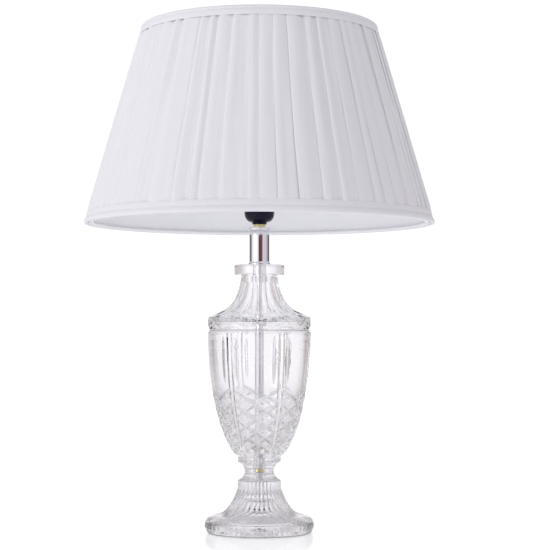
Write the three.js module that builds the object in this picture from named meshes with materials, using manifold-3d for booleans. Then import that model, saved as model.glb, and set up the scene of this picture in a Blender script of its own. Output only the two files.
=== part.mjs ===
// Table lamp: a hollow cut-glass urn on a bell-shaped glass foot, a glass lid with a chromed neck,
// an E27 lampholder, and a pleated fabric shade on a three-armed wire frame.
// Millimetres, +Z up, origin on the surface the lamp stands on, under the middle of the lamp.

import * as THREE from "three";
import { mergeVertices } from "three/addons/utils/BufferGeometryUtils.js";
import Module from "manifold-3d";

const wasm = await Module();
wasm.setup();

// ---- Driving dimensions ----

const GAP = 0.3; // clearance between pieces that touch

const SHADE_BOTTOM_Z = 351;
const SHADE_TOP_Z = 578;
const SHADE_BOTTOM_R = 200;
const SHADE_TOP_R = 134;
const TRIM_THICKNESS = 2;
const TOP_TRIM_HEIGHT = 11;
const BOTTOM_TRIM_HEIGHT = 14;
const COVER_THICKNESS = 2.6;
const LINING_THICKNESS = 1.2;
const FRAME_WIRE_R = 1.5;
const ARM_ANGLES = [90, 210, 330]; // degrees about +Z

const FOOT_R = 62.5; // widest point of the rounded rim
const FOOT_CONTACT_R = 60;
const FOOT_CAVITY_R = 48;
const FOOT_CAVITY_TOP_Z = 38;
const COLLAR_R = 24.7; // the rings above and below the waist
const WAIST_R = 16.7;
const WAIST_Z = 69.5; // where the urn stands on the foot
const URN_R = 59;
const URN_WALL = 6;
const URN_FLOOR_Z = 94.5;
const URN_TOP_Z = 229;
const LID_R = 58.5;
const LID_BAND_TOP_Z = 244.3;
const LID_NECK_R = 21;
const LID_NECK_Z = 293.3;
const LID_DISC_R = 28.7;
const LID_TOP_Z = 304.5;

const PAD_THICKNESS = 1.2;
const CORD_NOTCH_R = 5;
const ROD_R = 4; // M8 hollow rod
const ROD_BORE_R = 2.5;
const ROD_BOTTOM_Z = 26;
const ROD_TOP_Z = 358;
const SLEEVE_R = 4.9;
const GLASS_BORE_R = SLEEVE_R + GAP;
const HEX_ACROSS_FLATS = 13; // M8 nut

const NECK_R = 11.3;
const NECK_WALL = 0.8;
const NECK_TOP_Z = 347.5;
const HOLDER_CAP_BOTTOM_Z = 351.2;
const HOLDER_CAP_R = 17.6;
const HOLDER_CAP_TOP_Z = 374;
const HOLDER_R = 19.6; // outside of the thread that carries the shade rings
const HOLDER_WALL = 2.2;
const HOLDER_TOP_Z = 411;
const E27_SHELL_R = 13.2; // middle of the rolled screw shell
const E27_PITCH = 3.6;
const SHADE_RING_R = 28;
const SHADE_RING_HEIGHT = 6;
const FITTER_Z = 383.8;
const FITTER_R = 31;
const FITTER_THICKNESS = 1.5;

// ---- Finishes ----

const finish = (color, roughness, metalness, opacity = 1) => () =>
  new THREE.MeshStandardMaterial({ color, roughness, metalness, opacity, transparent: opacity < 1 });
const glass = finish(0xf2f4f7, 0.03, 0, 0.35);
const chrome = finish(0xd6d8dc, 0.08, 1);
const brass = finish(0xb98a3c, 0.3, 1);
const steel = finish(0xa9abad, 0.35, 1);
const blackPlastic = finish(0x0b0b0c, 0.2, 0);
const whiteCeramic = finish(0xe9e7e0, 0.4, 0);
const clearPlastic = finish(0xe6e8ea, 0.3, 0);
const whiteWire = finish(0xf3f3f3, 0.4, 0.1);
const fabric = finish(0xf1f0f2, 0.9, 0);
const lining = finish(0xf7f8fb, 0.6, 0);

// ---- Helpers ----

const lamp = new THREE.Group();

function add(name, geometry, material) {
  const mesh = new THREE.Mesh(geometry, material());
  mesh.name = name;
  lamp.add(mesh);
  return mesh;
}

// A body turned about Z from an outline in (radius, height), drawn up the outside and down the inside.
function turned(outline, segments = 32, curveSteps = 5) {
  return new THREE.LatheGeometry(outline.getPoints(curveSteps), segments).rotateX(Math.PI / 2);
}

function polygon(points) {
  const outline = new THREE.Path();
  outline.setFromPoints(points.map(([r, z]) => new THREE.Vector2(r, z)));
  outline.closePath();
  return outline;
}

function ring(innerR, outerR, bottomZ, height, segments = 24) {
  const outline = polygon([
    [outerR, bottomZ],
    [outerR, bottomZ + height],
    [innerR, bottomZ + height],
    [innerR, bottomZ],
  ]);
  return turned(outline, segments);
}

// A ring of round wire about Z.
function wireRing(r, z, wireR, segments = 48) {
  return new THREE.TorusGeometry(r, wireR, 5, segments).translate(0, 0, z);
}

function solid(geometry) {
  const bare = geometry.index ? geometry.toNonIndexed() : geometry.clone();
  bare.deleteAttribute("normal");
  bare.deleteAttribute("uv");
  const merged = mergeVertices(bare, 1e-3);
  return new wasm.Manifold(
    new wasm.Mesh({
      numProp: 3,
      vertProperties: new Float32Array(merged.attributes.position.array),
      triVerts: new Uint32Array(merged.index.array),
    }),
  );
}

function cut(geometry, tool) {
  const mesh = solid(geometry).subtract(solid(tool)).getMesh();
  const result = new THREE.BufferGeometry();
  result.setAttribute("position", new THREE.BufferAttribute(mesh.vertProperties, 3));
  result.setIndex(new THREE.BufferAttribute(mesh.triVerts, 1));
  return result;
}

// Hexagonal nut with a round hole.
function nut(bottomZ, height, holeR) {
  const corner = HEX_ACROSS_FLATS / 2 / Math.cos(Math.PI / 6);
  const shape = new THREE.Shape();
  for (let i = 0; i < 6; i++) {
    const angle = (i * Math.PI) / 3;
    const [x, y] = [corner * Math.cos(angle), corner * Math.sin(angle)];
    i ? shape.lineTo(x, y) : shape.moveTo(x, y);
  }
  shape.closePath();
  shape.holes.push(new THREE.Path().absarc(0, 0, holeR, 0, 2 * Math.PI, true));
  const settings = { depth: height, bevelEnabled: false, curveSegments: 8 };
  return new THREE.ExtrudeGeometry(shape, settings).translate(0, 0, bottomZ);
}

// Radius of the shade's outer surface at a height.
function shadeR(z) {
  const share = (z - SHADE_BOTTOM_Z) / (SHADE_TOP_Z - SHADE_BOTTOM_Z);
  return SHADE_BOTTOM_R + (SHADE_TOP_R - SHADE_BOTTOM_R) * share;
}

// A conical band of the shade, from outer to inner, measured inwards from the outer surface.
function shadeBand(bottomZ, topZ, outer, inner, segments = 60) {
  const outline = polygon([
    [shadeR(bottomZ) - outer, bottomZ],
    [shadeR(topZ) - outer, topZ],
    [shadeR(topZ) - inner, topZ],
    [shadeR(bottomZ) - inner, bottomZ],
  ]);
  return turned(outline, segments);
}

// ---- Glass foot, with what fastens it ----

const footBottom = PAD_THICKNESS + GAP;
const footTop = WAIST_Z - GAP / 2;
const waistDisc = { r: 6.9, thickness: 1.3 };
// Arch through the back of the rim, where the cord passes.
const cordNotch = new THREE.CylinderGeometry(CORD_NOTCH_R, CORD_NOTCH_R, 40, 12)
  .translate(0, FOOT_CONTACT_R - 5, 0);

function footGlass() {
  const recessR = waistDisc.r + GAP;
  const recessZ = footTop - waistDisc.thickness - GAP;
  const outline = new THREE.Path()
    .moveTo(FOOT_CAVITY_R, footBottom)
    .lineTo(FOOT_CONTACT_R, footBottom)
    .lineTo(FOOT_CONTACT_R + 1.2, 4.5)
    .bezierCurveTo(FOOT_R + 0.8, 6.5, FOOT_R + 0.6, 15.5, FOOT_R - 6, 17.3)
    .lineTo(51, 19.5)
    .bezierCurveTo(36.1, 18, 25.3, 46.9, COLLAR_R, 50.5)
    .lineTo(COLLAR_R, 58.8)
    .quadraticCurveTo(WAIST_R + 0.2, 62.8, WAIST_R, footTop)
    .lineTo(recessR, footTop)
    .lineTo(recessR, recessZ)
    .lineTo(GLASS_BORE_R, recessZ)
    .lineTo(GLASS_BORE_R, FOOT_CAVITY_TOP_Z)
    .lineTo(14, FOOT_CAVITY_TOP_Z)
    .bezierCurveTo(20, 34, 30, 18, FOOT_CAVITY_R, footBottom);
  return turned(outline);
}

add("foot_glass", cut(footGlass(), cordNotch), glass);
add("foot_pad_ring", cut(ring(50, 59, 0, PAD_THICKNESS, 40), cordNotch), clearPlastic);
add("waist_washer", ring(ROD_R + GAP, waistDisc.r, footTop - waistDisc.thickness, waistDisc.thickness), brass);

const footWasher = { r: 11, thickness: 1.6 };
const footWasherZ = FOOT_CAVITY_TOP_Z - GAP - footWasher.thickness;
const footNutHeight = 6.5;
const footNutZ = footWasherZ - GAP - footNutHeight;
add("foot_washer", ring(ROD_R + GAP, footWasher.r, footWasherZ, footWasher.thickness), steel);
add("foot_nut", nut(footNutZ, footNutHeight, ROD_R + GAP), steel);
add("hollow_rod", ring(ROD_BORE_R, ROD_R, ROD_BOTTOM_Z, ROD_TOP_Z - ROD_BOTTOM_Z, 16), brass);
add("rod_end_bush", ring(2, ROD_R + 1.2, ROD_BOTTOM_Z - GAP - 2.2, 2.2, 16), blackPlastic);

// ---- Glass urn ----

const urnBottom = WAIST_Z + GAP / 2;

function urnGlass() {
  const outline = new THREE.Path()
    .moveTo(GLASS_BORE_R, urnBottom)
    .lineTo(WAIST_R, urnBottom)
    .quadraticCurveTo(WAIST_R + 0.6, 75.5, 22.4, 78.6)
    .lineTo(COLLAR_R - 0.1, 80.3)
    .lineTo(COLLAR_R - 0.1, 86)
    .lineTo(28.1, 88.3)
    .bezierCurveTo(44.2, 108.4, 58.6, 157.3, URN_R, 227)
    .lineTo(URN_R - 1, URN_TOP_Z)
    .lineTo(URN_R - URN_WALL, URN_TOP_Z)
    .bezierCurveTo(URN_R - URN_WALL - 0.6, 160, 38, 116, 21, 97.5)
    .lineTo(16, URN_FLOOR_Z)
    .lineTo(GLASS_BORE_R, URN_FLOOR_Z)
    .closePath();
  return turned(outline);
}

add("urn_glass", urnGlass(), glass);
add("rim_gasket", ring(URN_R - URN_WALL + 0.6, URN_R - 1.6, URN_TOP_Z + GAP, 1, 36), clearPlastic);

// ---- Glass lid ----

const lidBottom = URN_TOP_Z + 1 + 2 * GAP;

function lidGlass() {
  const outline = new THREE.Path()
    .moveTo(LID_R - URN_WALL, lidBottom)
    .lineTo(LID_R - 1.1, lidBottom)
    .lineTo(LID_R, lidBottom + 1.4)
    .lineTo(LID_R, LID_BAND_TOP_Z)
    .bezierCurveTo(39.9, 254.8, 26.3, 253.7, LID_NECK_R, LID_NECK_Z)
    .lineTo(LID_DISC_R, LID_NECK_Z)
    .lineTo(LID_DISC_R, LID_TOP_Z)
    .lineTo(GLASS_BORE_R, LID_TOP_Z)
    .lineTo(GLASS_BORE_R, 284)
    .lineTo(14, 284)
    .bezierCurveTo(19, 250, 34, 248, LID_R - URN_WALL, 239)
    .closePath();
  return turned(outline);
}

add("lid_glass", lidGlass(), glass);
const sleeveBottom = URN_FLOOR_Z + GAP;
add("rod_sleeve", ring(ROD_R + GAP, SLEEVE_R, sleeveBottom, LID_TOP_Z - GAP - sleeveBottom, 16), chrome);

// ---- Chromed neck ----

const neckBottom = LID_TOP_Z + GAP;

function neckTube() {
  const outline = new THREE.Path()
    .moveTo(NECK_R - NECK_WALL, neckBottom)
    .lineTo(NECK_R + 1.2, neckBottom)
    .quadraticCurveTo(NECK_R + 2.4, neckBottom + 2.2, NECK_R, neckBottom + 5)
    .lineTo(NECK_R, NECK_TOP_Z - 4)
    .quadraticCurveTo(NECK_R + 1.5, NECK_TOP_Z - 2, NECK_R + 0.3, NECK_TOP_Z)
    .lineTo(NECK_R - NECK_WALL, NECK_TOP_Z)
    .closePath();
  return turned(outline, 28, 3);
}

const washerThickness = 1.5;
const neckWasherR = NECK_R - NECK_WALL - GAP;
const neckTopWasherZ = NECK_TOP_Z - washerThickness;
const neckNutZ = NECK_TOP_Z + GAP;
add("neck_tube", neckTube(), chrome);
add("neck_lower_washer", ring(ROD_R + GAP, neckWasherR, neckBottom, washerThickness), steel);
add("neck_upper_washer", ring(ROD_R + GAP, neckWasherR, neckTopWasherZ, washerThickness), chrome);
add("neck_nut", nut(neckNutZ, HOLDER_CAP_BOTTOM_Z - GAP - neckNutZ, ROD_R + GAP), brass);

// ---- E27 lampholder ----

function holderCap() {
  const outline = new THREE.Path()
    .moveTo(ROD_R + GAP, HOLDER_CAP_BOTTOM_Z)
    .lineTo(8.3, HOLDER_CAP_BOTTOM_Z)
    .bezierCurveTo(12, HOLDER_CAP_BOTTOM_Z + 2.5, 16.6, 358, HOLDER_CAP_R - 0.5, 366)
    .lineTo(HOLDER_CAP_R, HOLDER_CAP_TOP_Z)
    .lineTo(HOLDER_CAP_R - HOLDER_WALL, HOLDER_CAP_TOP_Z)
    .bezierCurveTo(HOLDER_CAP_R - HOLDER_WALL - 0.5, 362, 13, 359, 8, 354.5)
    .lineTo(ROD_R + GAP, 354.5)
    .closePath();
  return turned(outline, 24, 3);
}

const holderBottom = HOLDER_CAP_TOP_Z + GAP;
const insertR = HOLDER_R - HOLDER_WALL - GAP;
const insertFloorZ = 378;

function holderShell() {
  const outline = new THREE.Path()
    .moveTo(HOLDER_R - HOLDER_WALL, holderBottom)
    .lineTo(HOLDER_R - 1, holderBottom)
    .lineTo(HOLDER_R, holderBottom + 1.2)
    .lineTo(HOLDER_R, HOLDER_TOP_Z - 1.2)
    .lineTo(HOLDER_R - 1, HOLDER_TOP_Z)
    .lineTo(HOLDER_R - HOLDER_WALL, HOLDER_TOP_Z)
    .closePath();
  return turned(outline, 28);
}

function holderInsert() {
  const outline = new THREE.Path()
    .moveTo(0, 363)
    .lineTo(11, 363)
    .lineTo(11, holderBottom)
    .lineTo(insertR, holderBottom)
    .lineTo(insertR, 407)
    .lineTo(insertR - 2, 407)
    .lineTo(insertR - 2, insertFloorZ)
    .lineTo(0, insertFloorZ);
  return turned(outline, 28);
}

function screwShell() {
  const halfWall = 0.25;
  const waveHeight = 0.5;
  const steps = 12; // crests and roots
  const bottom = insertFloorZ + 3;
  const side = (offset) =>
    Array.from({ length: steps + 1 }, (_, i) => {
      const wave = i % 2 ? -waveHeight : waveHeight;
      return [E27_SHELL_R + wave + offset, bottom + (i * E27_PITCH) / 2];
    });
  return turned(polygon([...side(halfWall), ...side(-halfWall).reverse()]), 16);
}

// Bent strip that the foot of the bulb presses down. It bends about its root.

function contactStrip() {
  const outline = new THREE.Shape();
  const points = [
    [6, 0.35],
    [4.2, 0.35],
    [-2.5, 5],
    [-4.5, 4.2],
    [-4.6, 4.75],
    [-2.5, 5.6],
    [4.4, 0.9],
    [6, 0.9],
  ];
  outline.setFromPoints(points.map(([y, z]) => new THREE.Vector2(y, insertFloorZ + z)));
  const width = 6;
  const strip = new THREE.ExtrudeGeometry(outline, { depth: width, bevelEnabled: false });
  // The outline's (x, y) becomes (y, z), and the depth runs along x.
  return strip.rotateX(Math.PI / 2).rotateZ(Math.PI / 2).translate(-width / 2, 0, 0);
}

add("holder_cap", holderCap(), blackPlastic);
add("holder_shell", holderShell(), blackPlastic);
add("holder_insert", holderInsert(), whiteCeramic);
add("screw_shell", screwShell(), brass);
add("centre_contact", contactStrip(), brass);
for (const [side, x] of [["left", -7.5], ["right", 7.5]]) {
  add(`terminal_${side}`, new THREE.BoxGeometry(4, 6, 4).translate(x, 0, 360.7), brass);
}

// ---- Shade rings ----

function shadeRing(bottomZ) {
  const innerR = HOLDER_R + GAP;
  const outline = new THREE.Path()
    .moveTo(innerR, bottomZ)
    .lineTo(SHADE_RING_R - 1, bottomZ)
    .lineTo(SHADE_RING_R, bottomZ + 1)
    .lineTo(SHADE_RING_R, bottomZ + SHADE_RING_HEIGHT - 1)
    .lineTo(SHADE_RING_R - 1, bottomZ + SHADE_RING_HEIGHT)
    .lineTo(innerR, bottomZ + SHADE_RING_HEIGHT)
    .closePath();
  return turned(outline, 28);
}

add("lower_shade_ring", shadeRing(FITTER_Z - GAP - SHADE_RING_HEIGHT), blackPlastic);
add("upper_shade_ring", shadeRing(FITTER_Z + FITTER_THICKNESS + GAP), blackPlastic);

// ---- Shade frame ----

const frameInset = TRIM_THICKNESS + COVER_THICKNESS + LINING_THICKNESS + 2 * GAP + FRAME_WIRE_R + GAP;
const bottomRingZ = SHADE_BOTTOM_Z + 2.2;
const topRingZ = SHADE_TOP_Z - 2.2;
const bottomRingR = shadeR(bottomRingZ) - frameInset;
const fitterMidZ = FITTER_Z + FITTER_THICKNESS / 2;

function frameArm(angle) {
  const outerR = bottomRingR - FRAME_WIRE_R - GAP;
  const innerR = FITTER_R + GAP;
  const at = (r, z) => new THREE.Vector3(r * Math.cos(angle), r * Math.sin(angle), z);
  const route = new THREE.CubicBezierCurve3(
    at(outerR, bottomRingZ),
    at(outerR - 30, bottomRingZ + 5),
    at(innerR + 40, fitterMidZ - 2),
    at(innerR, fitterMidZ),
  );
  const section = new THREE.Shape().absarc(0, 0, FRAME_WIRE_R, 0, 2 * Math.PI, false);
  const settings = { steps: 10, curveSegments: 4, bevelEnabled: false, extrudePath: route };
  return new THREE.ExtrudeGeometry(section, settings);
}

add("fitter_ring", ring(HOLDER_R + 1.2, FITTER_R, FITTER_Z, FITTER_THICKNESS, 28), whiteWire);
ARM_ANGLES.forEach((degrees, i) => {
  add(`frame_arm_${i + 1}`, frameArm(THREE.MathUtils.degToRad(degrees)), whiteWire);
});
add("bottom_wire_ring", wireRing(bottomRingR, bottomRingZ, FRAME_WIRE_R), whiteWire);
add("top_wire_ring", wireRing(shadeR(topRingZ) - frameInset, topRingZ, FRAME_WIRE_R), whiteWire);

// ---- Shade cover, lining and trims ----

const trimInner = TRIM_THICKNESS;
const coverOuter = trimInner + GAP;
const coverInner = coverOuter + COVER_THICKNESS;
const liningOuter = coverInner + GAP;
const bottomTrimTop = SHADE_BOTTOM_Z + BOTTOM_TRIM_HEIGHT;
const topTrimBottom = SHADE_TOP_Z - TOP_TRIM_HEIGHT;

// The cover is drawn in under the trims and stands out to nearly their level between them.
function pleatedCover() {
  const proud = 0.7;
  const bottom = SHADE_BOTTOM_Z + 0.8;
  const top = SHADE_TOP_Z - 0.8;
  const outline = polygon([
    [shadeR(bottom) - coverOuter, bottom],
    [shadeR(bottomTrimTop) - coverOuter, bottomTrimTop + GAP],
    [shadeR(bottomTrimTop + 2) - proud, bottomTrimTop + 2],
    [shadeR(topTrimBottom - 2) - proud, topTrimBottom - 2],
    [shadeR(topTrimBottom) - coverOuter, topTrimBottom - GAP],
    [shadeR(top) - coverOuter, top],
    [shadeR(top) - coverInner, top],
    [shadeR(bottom) - coverInner, bottom],
  ]);
  return turned(outline, 60);
}

add("pleated_cover", pleatedCover(), fabric);
const liningInner = liningOuter + LINING_THICKNESS;
add("shade_lining", shadeBand(SHADE_BOTTOM_Z + 0.4, SHADE_TOP_Z - 0.4, liningOuter, liningInner), lining);
add("top_trim", shadeBand(topTrimBottom, SHADE_TOP_Z, 0, trimInner), fabric);
add("bottom_trim", shadeBand(SHADE_BOTTOM_Z, bottomTrimTop, 0, trimInner), fabric);

export default lamp;
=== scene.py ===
import bisect
import math
import random

import bmesh
import bpy
from mathutils import Matrix, Vector, noise


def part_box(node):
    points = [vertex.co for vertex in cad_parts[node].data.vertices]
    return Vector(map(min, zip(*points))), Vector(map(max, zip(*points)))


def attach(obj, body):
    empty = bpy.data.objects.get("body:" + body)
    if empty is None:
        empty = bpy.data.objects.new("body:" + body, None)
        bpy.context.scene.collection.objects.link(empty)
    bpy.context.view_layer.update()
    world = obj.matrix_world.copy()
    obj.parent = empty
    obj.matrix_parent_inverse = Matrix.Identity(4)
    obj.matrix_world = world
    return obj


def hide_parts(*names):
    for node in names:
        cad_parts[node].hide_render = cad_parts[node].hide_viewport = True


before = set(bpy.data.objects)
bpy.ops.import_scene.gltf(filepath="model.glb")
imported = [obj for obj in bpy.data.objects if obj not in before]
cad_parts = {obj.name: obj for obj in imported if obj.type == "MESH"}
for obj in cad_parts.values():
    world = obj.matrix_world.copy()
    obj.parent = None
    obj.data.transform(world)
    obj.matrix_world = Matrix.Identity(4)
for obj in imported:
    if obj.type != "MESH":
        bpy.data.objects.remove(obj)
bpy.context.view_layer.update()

bl_info = {
    "name": "Table lamp with shade",
    "version": (1, 0, 0),
    "blender": (4, 5, 0),
    "location": "View3D > Sidebar > Table lamp",
    "description": "Builds a cut-glass table lamp with a pleated shade on its packed frame",
    "category": "Object",
}

MM = 0.001
FULL_TURN = 2 * math.pi
# A turned piece is spun as one sector and then copied round.
SECTORS = 12
# A run of an outline longer than this gets a point close to each of its ends.
LONG_RUN = 6.0 * MM
HOLD = 0.25 * MM
# How far a point may lie off a piece's outer wall and still be cut with it, in mm.
WALL_SLACK = 0.35
JOIN = 0.001 * MM
ROD_BORE = 4.3
THREAD_PITCH = 1.0 * MM


# ---------------------------------------------------------------- outlines


def bend(start, pull_a, pull_b, end, count=16):
    """Points of a cubic curve from start to end, both included."""
    made = []
    for k in range(count + 1):
        t = k / count
        s = 1 - t
        weights = (s * s * s, 3 * s * s * t, 3 * s * t * t, t * t * t)
        corners = (start, pull_a, pull_b, end)
        made.append(tuple(sum(w * p[i] for w, p in zip(weights, corners)) for i in (0, 1)))
    return made


def sweep(start, pull, end, count=8):
    """Points of a quadratic curve from start to end, both included."""
    made = []
    for k in range(count + 1):
        t = k / count
        s = 1 - t
        made.append(tuple(s * s * a + 2 * s * t * b + t * t * c for a, b, c in zip(start, pull, end)))
    return made


def evenly(points, step):
    """The same run of points, laid out again at an even spacing."""
    lengths = [0.0]
    for a, b in zip(points, points[1:]):
        lengths.append(lengths[-1] + math.dist(a, b))
    count = max(1, round(lengths[-1] / step))
    made = []
    k = 0
    for n in range(count + 1):
        want = lengths[-1] * n / count
        while k < len(points) - 2 and lengths[k + 1] < want:
            k += 1
        span = max(lengths[k + 1] - lengths[k], 1e-9)
        t = min(max((want - lengths[k]) / span, 0.0), 1.0)
        made.append(tuple(a + t * (b - a) for a, b in zip(points[k], points[k + 1])))
    return made


def radius_at(points, height):
    """Radius of an outline that rises from its first point to its last, at a height."""
    k = bisect.bisect_right(points, height, key=lambda p: p[1])
    if k == 0 or k == len(points):
        return points[min(k, len(points) - 1)][0]
    a, b = points[k - 1], points[k]
    return a[0] + (b[0] - a[0]) * (height - a[1]) / (b[1] - a[1])


def smooth_step(low, high, value):
    t = min(max((value - low) / (high - low), 0.0), 1.0)
    return t * t * (3 - 2 * t)


def within(value, low, low_full, high_full, high):
    """1 between the two inner limits, fading to 0 at the outer ones."""
    return smooth_step(low, low_full, value) * (1 - smooth_step(high_full, high, value))


def ripple(*place):
    """Smooth noise at a place."""
    return noise.noise(Vector(place))


def turn_of(co):
    """Angle of a point round the lamp's axis, 0 at the front and rising to the right."""
    return math.degrees(math.atan2(co.x, -co.y))


def off_centre(angle, pitch, start=0.0):
    """How far an angle is from the nearest of a ring of evenly spaced lines, with its sign."""
    return (angle - start + pitch / 2) % pitch - pitch / 2


def share_off(angle, pitch, start=0.0):
    """The same as a share: 0 on a line, and 1 halfway between two."""
    return abs(off_centre(angle, pitch, start)) / (pitch / 2)


# ---------------------------------------------------------------- mesh helpers


def finished(name, bm, body, node, slot_name, finish, crease=35.0, recalc=True):
    """Makes a mesh object of a bmesh, which rides on a body and stands for its CAD node."""
    if recalc:
        bmesh.ops.recalc_face_normals(bm, faces=bm.faces)
    for face in bm.faces:
        face.smooth = True
    mesh = bpy.data.meshes.new(name)
    bm.to_mesh(mesh)
    bm.free()
    mesh.set_sharp_from_angle(angle=math.radians(crease))
    mesh.materials.append(finish_for(finish))
    obj = bpy.data.objects.new(name, mesh)
    bpy.context.scene.collection.objects.link(obj)
    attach(obj, body)
    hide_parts(node)
    return obj


def outline_edges(bm, outline):
    """Draws an outline of (radius, height) in mm on the front's plane. A third number rounds a corner."""
    made = [bm.verts.new((0.0, -point[0] * MM, point[1] * MM)) for point in outline]
    for pair in zip(made, made[1:] + made[:1]):
        bm.edges.new(pair)
    for vert, point in zip(made, outline):
        if len(point) > 2:
            eased(bm, [vert], point[2] * MM, 4, "VERTICES")
    hold_ends(bm)


def rounded(outline, radius):
    """An outline with all its corners rounded alike."""
    return [(*point, radius) for point in outline]


def eased(bm, geom, offset, segments, affect):
    """Rounds corners or edges."""
    bmesh.ops.bevel(
        bm,
        geom=geom,
        offset=offset,
        offset_type="OFFSET",
        segments=segments,
        profile=0.5,
        affect=affect,
        material=-1,
    )


def hold_ends(bm):
    """Adds a point close to each end of a long run, so that its shading stays true to its shape."""
    for edge in [e for e in bm.edges if e.calc_length() > LONG_RUN]:
        for vert in list(edge.verts):
            held = next(e for e in vert.link_edges if e == edge or e.calc_length() > LONG_RUN * 0.6)
            bmesh.utils.edge_split(held, vert, HOLD / held.calc_length())


def spun(bm, geom, angle, steps, copies):
    """Spins geometry round the lamp's axis, as one skin or as separate copies."""
    bmesh.ops.spin(
        bm,
        geom=geom,
        cent=(0, 0, 0),
        axis=(0, 0, 1),
        dvec=(0, 0, 0),
        angle=angle,
        steps=steps,
        use_merge=False,
        use_normal_flip=False,
        use_duplicate=copies,
    )


def turned(outline, steps, node):
    """A bmesh spun once round the lamp's axis from an outline, set on its CAD node's height."""
    bm = bmesh.new()
    outline_edges(bm, outline)
    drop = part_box(node)[0].z - min(v.co.z for v in bm.verts)
    bmesh.ops.translate(bm, verts=bm.verts, vec=(0, 0, drop))
    sector = FULL_TURN / SECTORS
    spun(bm, bm.verts[:] + bm.edges[:], sector, steps // SECTORS, False)
    spun(bm, bm.verts[:] + bm.edges[:] + bm.faces[:], FULL_TURN - sector, SECTORS - 1, True)
    bmesh.ops.remove_doubles(bm, verts=bm.verts, dist=JOIN)
    bmesh.ops.recalc_face_normals(bm, faces=bm.faces)
    bm.normal_update()
    return bm


def turned_piece(name, node, outline, steps, slot_name, finish, crease=35.0):
    """A finished piece on the base that is turned and needs no more work."""
    finished(name, turned(outline, steps, node), "base", node, slot_name, finish, crease)


def carve(bm, outer, cut):
    """Moves the outer wall inwards along its normals by cut(angle, height, radius), in mm."""
    moves = []
    for v in bm.verts:
        height = v.co.z / MM
        if not outer[0][1] - 0.01 <= height <= outer[-1][1] + 0.01:
            continue
        radius = math.hypot(v.co.x, v.co.y) / MM
        if abs(radius - radius_at(outer, height)) > WALL_SLACK:
            continue
        depth = cut(turn_of(v.co), height, radius)
        if depth:
            moves.append((v, v.normal * (-depth * MM)))
    for v, move in moves:
        v.co += move


def mark_inside(bm, outer, wall, clear_from, amount=1.0):
    """Marks the surfaces well inside the outer wall, which the mould leaves less polished low down."""
    inside = bm.verts.layers.float.new("inside")
    for v in bm.verts:
        radius = math.hypot(v.co.x, v.co.y) / MM
        height = v.co.z / MM
        gap = radius_at(outer, height) - radius
        low_down = 1 - smooth_step(clear_from, clear_from + 14, height)
        v[inside] = amount * low_down * smooth_step(wall, wall + 1.5, gap)


# ---------------------------------------------------------------- materials


def opaque(colour):
    return (*colour, 1.0)


def scaled(colour, share):
    return [c * share for c in colour]


def feed(tree, socket, value):
    """Gives a socket a constant, or the output of another node."""
    if isinstance(value, bpy.types.NodeSocket):
        tree.links.new(value, socket)
    else:
        socket.default_value = value


def add_node(tree, kind, values=None, **settings):
    """A shader node with its settings, and a constant or a link for each input that is named."""
    node = tree.nodes.new("ShaderNode" + kind)
    for key, value in settings.items():
        setattr(node, key, value)
    for label, value in (values or {}).items():
        feed(tree, node.inputs[label], value)
    return node


def math_node(tree, operation, *values):
    node = add_node(tree, "Math", operation=operation)
    for socket, value in zip(node.inputs, values):
        feed(tree, socket, value)
    return node.outputs[0]


def blend(tree, factor, first, second, **settings):
    """A colour that runs from the first to the second with a factor."""
    values = {"Factor": factor, "A": first, "B": second}
    return add_node(tree, "Mix", values, data_type="RGBA", **settings).outputs["Result"]


def ramp(tree, factor, stops):
    """A colour that follows a factor through stops of (position, colour)."""
    node = add_node(tree, "ValToRGB", {"Fac": factor})
    elements = node.color_ramp.elements
    while len(elements) < len(stops):
        elements.new(0.5)
    for element, (position, colour) in zip(elements, stops):
        element.position = position
        element.color = opaque(colour)
    return node.outputs[0]


def new_group(name, inputs, outputs):
    """An empty shader group. An input is a number, or None for a vector. Each output is a number."""
    group = bpy.data.node_groups.new(name, "ShaderNodeTree")
    for label, value in inputs.items():
        kind = "NodeSocketVector" if value is None else "NodeSocketFloat"
        socket = group.interface.new_socket(name=label, in_out="INPUT", socket_type=kind)
        if value is not None:
            socket.default_value = value
    for label in outputs:
        group.interface.new_socket(name=label, in_out="OUTPUT", socket_type="NodeSocketFloat")
    source = group.nodes.new("NodeGroupInput").outputs
    sink = group.nodes.new("NodeGroupOutput").inputs
    return group, source, sink


def fine_mottle_group():
    """Soft uneven patches between a low and a high value, and the same as a height."""
    inputs = {"Place": None, "Scale": 60.0, "Detail": 4.0, "Low": 0.0, "High": 1.0}
    group, source, sink = new_group("fine mottle", inputs, ("Value", "Height"))
    values = {"Vector": source["Place"], "Scale": source["Scale"], "Detail": source["Detail"]}
    cloud = add_node(group, "TexNoise", values).outputs[0]
    values = {"Value": cloud, "From Min": 0.3, "From Max": 0.7}
    values.update({"To Min": source["Low"], "To Max": source["High"]})
    feed(group, sink["Value"], add_node(group, "MapRange", values).outputs[0])
    feed(group, sink["Height"], cloud)
    return group


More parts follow.
